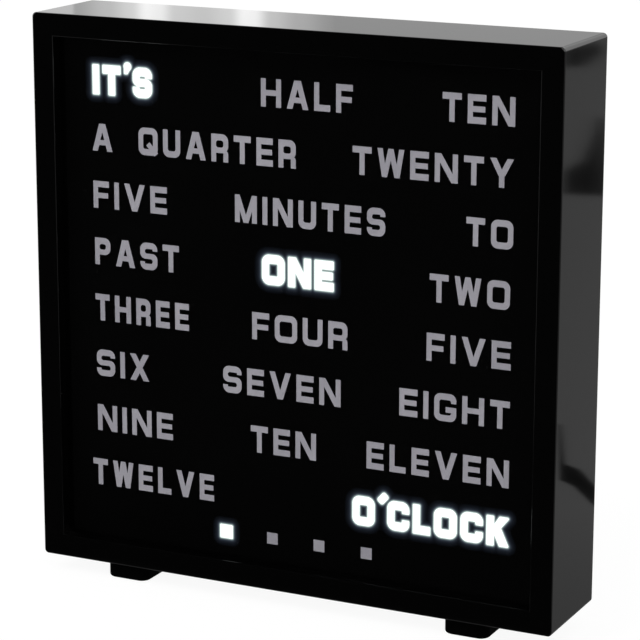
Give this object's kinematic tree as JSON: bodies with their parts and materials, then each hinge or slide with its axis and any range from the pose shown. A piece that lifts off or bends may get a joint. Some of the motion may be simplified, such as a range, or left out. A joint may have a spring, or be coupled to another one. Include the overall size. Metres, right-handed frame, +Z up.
{
  "type": "word clock",
  "caption": "Square black desk clock that tells the time in lit words behind a clear window, with set buttons, brightness switch, power inlet and battery bay at the back.",
  "frame": {"origin": "middle of the case's width and depth, on the surface the feet stand on", "axes": "+Z up, -Y out of the face towards the viewer, +X to the viewer's right"},
  "size_m": [0.165, 0.0322, 0.1701],
  "materials": {
    "gloss_abs": "high gloss black moulding",
    "satin_abs": "fine spark-eroded texture",
    "clear_acrylic": "polished clear",
    "mask_ink": "screen-printed black",
    "legend_unlit": "translucent grey",
    "legend_lit": "translucent, lit from behind",
    "opal_film": "opal",
    "baffle_abs": "matt black moulding",
    "board_laminate": "green solder mask",
    "led_package": "white package, yellow phosphor",
    "resistor_ceramic": "glazed ceramic",
    "chip_epoxy": "moulded epoxy",
    "plated_steel": "drawn can",
    "capacitor_sleeve": "shrunk sleeve",
    "header_nylon": "moulded",
    "cell_sleeve": "plain printed sleeve",
    "nickel_plate": "nickel plated",
    "button_abs": "satin grey",
    "switch_nylon": "moulded",
    "socket_nylon": "moulded",
    "black_pvc": "extruded",
    "red_pvc": "extruded",
    "foot_rubber": "moulded black",
    "screw_steel": "zinc plated, cross recess"
  },
  "bodies": {
    "clock": {"battery_cells": "cell_sleeve", "battery_contacts": "nickel_plate", "battery_springs": "nickel_plate", "black_leads": "black_pvc", "board_header": "header_nylon", "board_screws": "screw_steel", "board_socket": "header_nylon", "brightness_switch": "switch_nylon", "clock_crystal": "plated_steel", "control_board": "board_laminate", "cover_screws": "screw_steel", "dc_socket": "socket_nylon", "dc_socket_nut": "nickel_plate", "diffuser_sheet": "opal_film", "foot_screws": "screw_steel", "front_case": "gloss_abs", "front_window": "clear_acrylic", "led_board": "board_laminate", "led_drivers": "chip_epoxy", "led_resistors": "resistor_ceramic", "left_foot": "foot_rubber", "light_baffle": "baffle_abs", "microcontroller": "chip_epoxy", "minute_dot_1": "legend_lit", "minute_dots_2_to_4": "legend_unlit", "power_capacitor": "capacitor_sleeve", "printed_mask": "mask_ink", "rear_cover": "satin_abs", "red_leads": "red_pvc", "right_foot": "foot_rubber", "tact_switches": "switch_nylon", "word_a_quarter": "legend_unlit", "word_eight": "legend_unlit", "word_eleven": "legend_unlit", "word_five": "legend_unlit", "word_five_minutes": "legend_unlit", "word_four": "legend_unlit", "word_half": "legend_unlit", "word_its": "legend_lit", "word_leds": "led_package", "word_minutes": "legend_unlit", "word_nine": "legend_unlit", "word_oclock": "legend_lit", "word_one": "legend_lit", "word_past": "legend_unlit", "word_seven": "legend_unlit", "word_six": "legend_unlit", "word_ten": "legend_unlit", "word_ten_minutes": "legend_unlit", "word_three": "legend_unlit", "word_to": "legend_unlit", "word_twelve": "legend_unlit", "word_twenty": "legend_unlit", "word_two": "legend_unlit"},
    "hour_key": {"hour_button": "button_abs", "hour_plunger": "switch_nylon"},
    "minute_key": {"minute_button": "button_abs", "minute_plunger": "switch_nylon"},
    "brightness_slider": {"brightness_knob": "button_abs"},
    "door": {"battery_door": "satin_abs"}
  },
  "joints": [
    {"name": "hour_press", "type": "slide", "parent": "clock", "child": "hour_key", "axis": [0, -1, 0], "range_m": [0, 0.0005], "stiffness_N_per_m": 2000},
    {"name": "minute_press", "type": "slide", "parent": "clock", "child": "minute_key", "axis": [0, -1, 0], "range_m": [0, 0.0005], "stiffness_N_per_m": 2000},
    {"name": "brightness_slide", "type": "slide", "parent": "clock", "child": "brightness_slider", "axis": [1, 0, 0], "range_m": [-0.002, 0.002]},
    {"name": "battery_door_swing", "type": "hinge", "parent": "clock", "child": "door", "pos_m": [0, 0.01535, 0.02995], "axis": [-1, 0, 0], "range_deg": [0, 75]}
  ]
}
